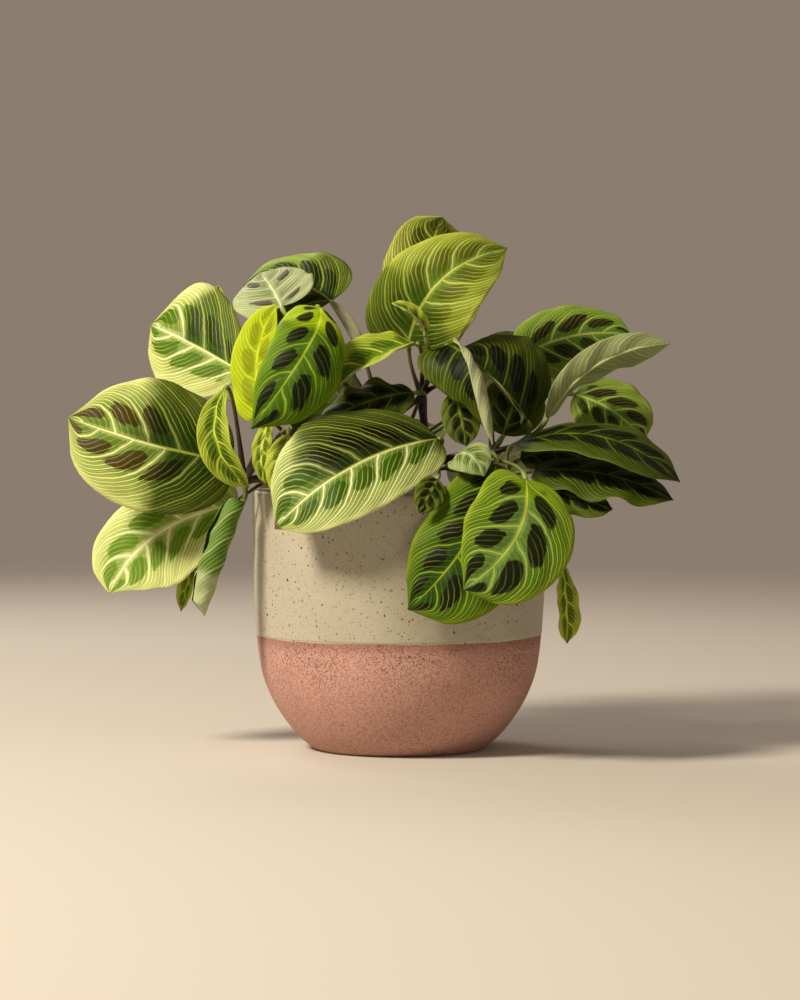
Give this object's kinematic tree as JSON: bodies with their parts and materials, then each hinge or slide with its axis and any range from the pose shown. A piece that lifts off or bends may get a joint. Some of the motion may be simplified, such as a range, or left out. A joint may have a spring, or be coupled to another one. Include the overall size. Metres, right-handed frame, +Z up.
{
  "type": "potted prayer plant",
  "caption": "Prayer plant with patterned oval leaves on thin arching stems, growing in a round two-tone ceramic pot with a flat base.",
  "frame": {"origin": "centre of the pot's flat base", "axes": "+Z up along the pot; -Y towards the side with the most leaves, +X to the right of that view"},
  "size_m": [0.3461, 0.2486, 0.3103],
  "materials": {
    "pot": "satin",
    "soil": "matte",
    "shoot": "satin",
    "leaf_sage": "satin",
    "leaf_bright": "satin",
    "leaf_dark": "satin",
    "leaf_lime": "satin"
  },
  "bodies": {
    "root": {"pot": "pot", "soil": "soil", "shoot_left_front": "shoot", "shoot_left_back": "shoot", "shoot_centre_left": "shoot", "shoot_crown": "shoot", "shoot_right": "shoot", "shoot_right_front": "shoot", "shoot_front": "shoot", "shoot_back": "shoot", "leaf_left_broad": "leaf_sage", "leaf_left_low": "leaf_sage", "leaf_left_hanging": "leaf_bright", "leaf_left_upper": "leaf_sage", "leaf_left_bud": "leaf_lime", "leaf_top_pale": "leaf_sage", "leaf_top_dark": "leaf_dark", "leaf_lime": "leaf_lime", "leaf_spotted": "leaf_bright", "leaf_centre_long": "leaf_bright", "leaf_crown_back": "leaf_bright", "leaf_crown_front": "leaf_lime", "leaf_crown_small": "leaf_bright", "leaf_crown_rolled": "leaf_dark", "leaf_right_inner": "leaf_dark", "leaf_right_upper": "leaf_dark", "leaf_right_twisted": "leaf_sage", "leaf_right_middle": "leaf_bright", "leaf_right_long": "leaf_dark", "leaf_right_low": "leaf_dark", "leaf_right_under": "leaf_dark", "leaf_front_low": "leaf_dark", "leaf_front_spotted": "leaf_bright", "leaf_right_dropping": "leaf_bright", "leaf_front_broad": "leaf_bright", "leaf_front_small": "leaf_sage", "leaf_left_inner": "leaf_bright", "leaf_left_narrow": "leaf_bright", "leaf_left_rolled": "leaf_sage", "leaf_centre_wavy": "leaf_dark", "leaf_front_shaded": "leaf_dark", "leaf_left_tip": "leaf_lime", "leaf_inner_shaded": "leaf_dark", "leaf_right_shaded": "leaf_dark", "leaf_right_deep": "leaf_dark", "leaf_left_shaded": "leaf_dark", "leaf_back_centre": "leaf_sage", "leaf_back_lower_left": "leaf_bright", "leaf_back_lower_right": "leaf_dark", "leaf_back_upper_right": "leaf_sage", "leaf_back_upper_left": "leaf_dark", "leaf_back_tall": "leaf_bright", "leaf_back_left": "leaf_sage", "leaf_back_right": "leaf_bright", "leaf_back_low": "leaf_bright", "leaf_back_drooping": "leaf_sage"}
  },
  "joints": []
}
